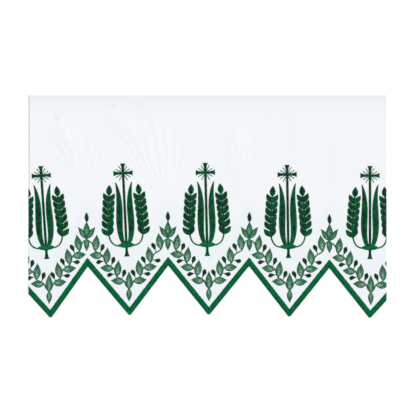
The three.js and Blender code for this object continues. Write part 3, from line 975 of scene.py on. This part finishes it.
def openLeaf(motif, root, degrees, length, width):
    # A leaf of open slanted stitches from its midrib forward to both sides, inside a stem-stitch line
    stitches = motif.stitches
    heading = unit(degrees)
    normal = np.array([-heading[1], heading[0]])
    root = np.array(root, float)
    count = round(length / garland["fillPitch"])
    rimStitch, rimShade = garland["rimStitch"], garland["rimShade"]
    for side in (-1.0, 1.0):
        at = (np.arange(count) + stitches.random.uniform(*garland["fillStarts"], count)) / count
        reach = leafWidth(at, width) / 2.0
        far = np.clip(at + garland["fillAhead"] * reach / length, 0.0, 1.0)
        edge = leafWidth(far, width) / 2.0
        starts = root + np.outer(at * length, heading)
        ends = root + np.outer(far * length, heading) + np.outer(side * edge, normal)
        starts, ends = motif.placed(starts), motif.placed(ends)
        tones = stitches.random.normal(0.0, garland["fillToneSpread"], (count, 1))
        wide = garland["fillWidth"] * stitches.random.uniform(*garland["fillWidths"], count)
        shade = garland["fillShade"] + tones
        stitches.add(starts, ends, garland["fillRise"], shade, "short", 0.0, wide)
        t = np.linspace(0.0, 1.0, garland["rimPlaces"])
        half = np.maximum(leafWidth(t, width) / 2.0 - garland["rimWidth"] / 2.0, 0.0)
        rim = root + np.outer(t * length, heading) + np.outer(side * half, normal)
        runLine(motif, rim, rimStitch, garland["rimWidth"], garland["rimRise"], rimShade)
    along = np.linspace(0.0, garland["ribShare"], garland["ribPlaces"]) * length
    rib = root + np.outer(along, heading)
    runLine(motif, rib, rimStitch, garland["ribWidth"], garland["ribRise"], garland["ribShade"])


def runLine(motif, line, stitchLength, width, rise, shade):
    # Overlapping stitches along a line, each a little askew, as in stem stitch
    places, heading = spaced(line, stitchLength * garland["rimOverlap"])[:2]
    normal = np.stack([-heading[:, 1], heading[:, 0]], 1)
    askew = heading + normal * garland["rimAskew"]
    starts, ends = places - askew * stitchLength / 2.0, places + askew * stitchLength / 2.0
    motif.stitches.add(motif.placed(starts), motif.placed(ends), rise, shade, "short", 0.0, width)


def budShape(motif, root, degrees, length, width, fullness):
    # A satin bud on a stalk that runs up to its middle
    tip = np.array(root) + length * unit(degrees)
    widthAt = lambda t: leafWidth(t, width, fullness)
    slant, shade = garland["budSlant"], garland["budShade"]
    motif.ribbon([root, tip], widthAt, garland["pitch"], garland["rise"], 0.0, slant, shade)
    stalk = np.linspace(root, (np.array(root) + tip) / 2.0, garland["budStalkPlaces"])
    rise, stalkWidth = garland["budStalkRise"], garland["budStalkWidth"]
    runLine(motif, stalk, garland["rimStitch"], stalkWidth, rise, garland["rimShade"])


def garlandSide(motif, corner, end, turn):
    # A waving stem from the corner over a tip towards a notch, with a leaf and a bud at each step
    length = math.dist(corner, end)
    along = (end - corner) / length
    inward = turn * np.array([-along[1], along[0]])
    heading = math.degrees(math.atan2(along[1], along[0]))

    def place(s):
        turns = np.pi * (s - garland["firstLeaf"]) / garland["leafStep"]
        sway = garland["wave"] * np.cos(turns) * smoothStep(s / garland["firstLeaf"])
        return corner + np.multiply.outer(s, along) + np.multiply.outer(sway, inward)

    stem = place(np.linspace(0.0, length, garland["stemPlaces"]))
    motif.ribbon(stem, evenWidth(garland["stemWidth"]), garland["pitch"], garland["stemRise"])
    count = math.ceil((length - garland["innerClear"] - garland["firstLeaf"]) / garland["leafStep"])
    for i in range(count):
        s = garland["firstLeaf"] + i * garland["leafStep"]
        inner = -1 if i % 2 == 0 else 1
        size = garland["innerLeaf"] if inner == 1 else garland["outerLeaf"]
        if inner == 1 or s < length - garland["outerClear"]:
            leafHeading = heading + inner * turn * garland["leafAngle"]
            openLeaf(motif, place(s), leafHeading, size, garland["leafWidth"])
        budAt = s + garland["budAhead"]
        if budAt < length - garland["budClear"]:
            budHeading = heading - inner * turn * garland["budAngle"]
            budLength = garland["outerBud"] if inner == 1 else garland["innerBud"]
            budSize = (budLength, garland["budWidth"], garland["budFullness"])
            budShape(motif, place(budAt), budHeading, *budSize)


def knotLeaves(motif, middle, overNotch):
    # One leaf down and one up, and over a notch two more to the sides and a bud on the upper one
    length, width, overlap = garland["knotLength"], garland["knotWidth"], garland["knotOverlap"]
    sideLength, sideWidth = length * garland["sideShare"], width * garland["sideShare"]
    x, y = middle
    openLeaf(motif, (x, y + overlap), 270.0, length * garland["downShare"], sideWidth)
    for turn in (-garland["knotSpread"], garland["knotSpread"]) if overNotch else ():
        openLeaf(motif, middle, 90.0 + turn, sideLength, sideWidth)
    openLeaf(motif, (x, y - overlap), 90.0, length, width)
    if overNotch:
        budSize = (garland["knotBudLength"], garland["knotBudWidth"], garland["knotBudFullness"])
        budShape(motif, (x, y - 2.0 * overlap + length), 90.0, *budSize)


def makeGarland(number):
    stitches = Stitches(garland, number)
    motif = Motif(stitches)
    before, corner, after = insetCorners(garland["offset"])[2 * number : 2 * number + 3]
    garlandSide(motif, corner, before, -1)
    garlandSide(motif, corner, after, 1)
    knotLeaves(motif, corner, False)
    if number < len(zigzag["tips"]) - 1:
        knotLeaves(motif, after, True)
    return stitches


# Hem stitches
hem = {
    "seed": 7,
    "start": 1.0,  # from the left side
    "stitchStep": 3.0,
    "stitchLength": 2.4,
    "fromHemLine": 6.6,
    "strand": (0.55, 0.3),
    "rise": 0.22,
    "shade": 0.85,
    "dark": (0.7, 0.71, 0.74),
    "light": (0.84, 0.845, 0.865),
    "roughness": 0.6,
    "mottle": 0.4,
}


def makeHemStitches():
    # One straight row just inside the hem's fold line
    stitches = Stitches(hem)
    half = zigzag["halfWidth"]
    x = np.arange(-half + hem["start"], half - hem["stitchStep"], hem["stitchStep"])
    y = zigzag["topY"] - cloth["hemWidth"] + hem["fromHemLine"]
    starts = np.stack([x, np.full_like(x, y)], 1)
    ends = starts + (hem["stitchLength"], 0.0)
    stitches.add(starts, ends, hem["rise"], hem["shade"], "short")
    return stitches.make("hem_stitches", threadPaint("white_thread", hem))


makeCamera()
makeLights()
makeFloor()
print("camera, lights and floor made")

clothPiece = makeCloth()
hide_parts("cloth")
hemPiece = makeHemStitches()
print("cloth made,", len(clothPiece.data.polygons), "faces")

edgingPiece = makeEdging()
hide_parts("zigzag_edging")
print("edging made,", len(edgingPiece.data.polygons), "faces")

onCloth = [hemPiece, edgingPiece]
emblemPaint = threadPaint("emblem_thread", emblem)
garlandPaint = threadPaint("garland_thread", garland)
for number in range(len(zigzag["tips"])):
    emblemPiece = makeEmblem(number).make(f"emblem_stitches_{number + 1}", emblemPaint)
    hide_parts(f"emblem_{number + 1}")
    garlandPiece = makeGarland(number).make(f"garland_stitches_{number + 1}", garlandPaint)
    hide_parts(f"garland_{number + 1}")
    onCloth += [emblemPiece, garlandPiece]
    madeFaces = [len(piece.data.polygons) for piece in (emblemPiece, garlandPiece)]
    print("motifs", number + 1, "made,", *madeFaces, "faces")
